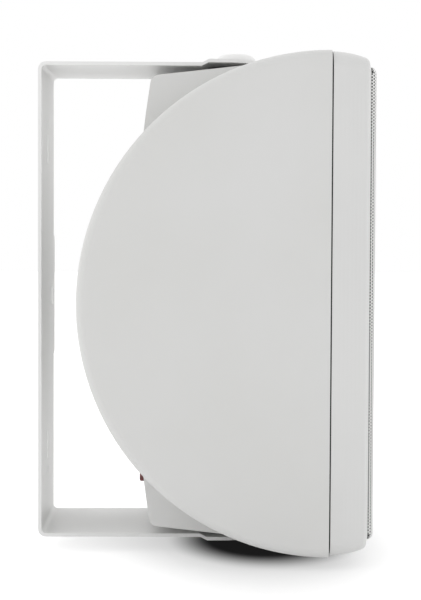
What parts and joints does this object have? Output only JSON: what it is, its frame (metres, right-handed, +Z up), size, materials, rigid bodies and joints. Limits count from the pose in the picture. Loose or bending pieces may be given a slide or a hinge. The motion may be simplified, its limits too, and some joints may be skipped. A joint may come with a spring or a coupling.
{
  "type": "installation speaker",
  "caption": "Two-way wall speaker with round-cheeked cabinet and perforated grille, swivelling in a U bracket held by clamp knobs.",
  "frame": {"origin": "centre of the wall face of the bracket", "axes": "+Z up, front of the speaker along -Y, wall side along +Y, X across"},
  "size_m": [0.19, 0.1905, 0.2928],
  "materials": {
    "white_powder_coat": "satin white powder coat on steel",
    "white_abs": "fine textured white ABS moulding",
    "black_foam": "closed cell foam seal",
    "zinc_steel": "bright zinc plated steel",
    "black_steel": "black painted pressed steel",
    "ferrite": "sintered ferrite, matte",
    "paper": "black pressed paper pulp",
    "black_rubber": "butyl rubber, matte",
    "spider_cloth": "resin treated cotton",
    "copper": "enamelled copper wire",
    "black_abs": "black moulded ABS",
    "silk": "coated silk",
    "board": "glass fibre board, green lacquer",
    "capacitor_film": "yellow film wrap",
    "cement": "white cement",
    "red_plastic": "dark red moulded plastic",
    "black_plastic": "black moulded plastic",
    "wadding": "polyester wadding",
    "wire_jacket": "red soft PVC",
    "brass": "turned brass"
  },
  "bodies": {
    "bracket": {"wall_bracket": "white_powder_coat"},
    "cabinet": {"rear_cabinet": "white_abs", "front_baffle": "white_abs", "grille": "white_powder_coat", "cabinet_seal": "black_foam", "baffle_screws": "zinc_steel", "woofer_basket": "black_steel", "woofer_seal": "black_foam", "woofer_screws": "zinc_steel", "woofer_top_plate": "zinc_steel", "woofer_magnet": "ferrite", "woofer_yoke": "zinc_steel", "tweeter_faceplate": "black_abs", "tweeter_screws": "zinc_steel", "tweeter_top_plate": "zinc_steel", "tweeter_magnet": "ferrite", "tweeter_yoke": "zinc_steel", "crossover_board": "board", "board_screws": "zinc_steel", "crossover_coils": "copper", "crossover_capacitors": "capacitor_film", "crossover_resistor": "cement", "terminal_plate": "black_abs", "terminal_screws": "zinc_steel", "terminal_spring_red": "zinc_steel", "terminal_spring_black": "zinc_steel", "wadding_pads": "wadding", "input_wire": "wire_jacket", "woofer_wire": "wire_jacket", "tweeter_wire": "wire_jacket", "pivot_inserts": "brass", "pivot_washers": "black_rubber"},
    "cone": {"woofer_cone": "paper", "woofer_surround": "black_rubber", "woofer_dust_cap": "paper", "woofer_spider": "spider_cloth", "woofer_voice_coil": "copper"},
    "dome": {"tweeter_dome": "silk"},
    "lever_red": {"terminal_lever_red": "red_plastic"},
    "lever_black": {"terminal_lever_black": "black_plastic"},
    "top_knob": {"knob_top": "white_abs", "stud_top": "zinc_steel"},
    "bottom_knob": {"knob_bottom": "white_abs", "stud_bottom": "zinc_steel"}
  },
  "joints": [
    {"name": "cabinet_swivel", "type": "hinge", "parent": "bracket", "child": "cabinet", "pos_m": [0, -0.115, 0], "axis": [0, 0, 1], "range_deg": [-15, 15]},
    {"name": "top_knob_turn", "type": "hinge", "parent": "cabinet", "child": "top_knob", "pos_m": [0, -0.115, 0.14], "axis": [0, 0, 1], "range_deg": [0, 360]},
    {"name": "bottom_knob_turn", "type": "hinge", "parent": "cabinet", "child": "bottom_knob", "pos_m": [0, -0.115, -0.14], "axis": [0, 0, -1], "range_deg": [0, 360]},
    {"name": "cone_travel", "type": "slide", "parent": "cabinet", "child": "cone", "axis": [0, -1, 0], "range_m": [-0.004, 0.004], "stiffness_N_per_m": 1200, "deforming": ["woofer_surround", "woofer_spider"]},
    {"name": "dome_travel", "type": "slide", "parent": "cabinet", "child": "dome", "axis": [0, -1, 0], "range_m": [-0.0003, 0.0003], "stiffness_N_per_m": 600},
    {"name": "red_lever_push", "type": "slide", "parent": "cabinet", "child": "lever_red", "axis": [0, -1, 0], "range_m": [0, 0.0025], "stiffness_N_per_m": 1500, "springref_m": -0.001, "deforming": ["terminal_spring_red"]},
    {"name": "black_lever_push", "type": "slide", "parent": "cabinet", "child": "lever_black", "axis": [0, -1, 0], "range_m": [0, 0.0025], "stiffness_N_per_m": 1500, "springref_m": -0.001, "deforming": ["terminal_spring_black"]}
  ]
}
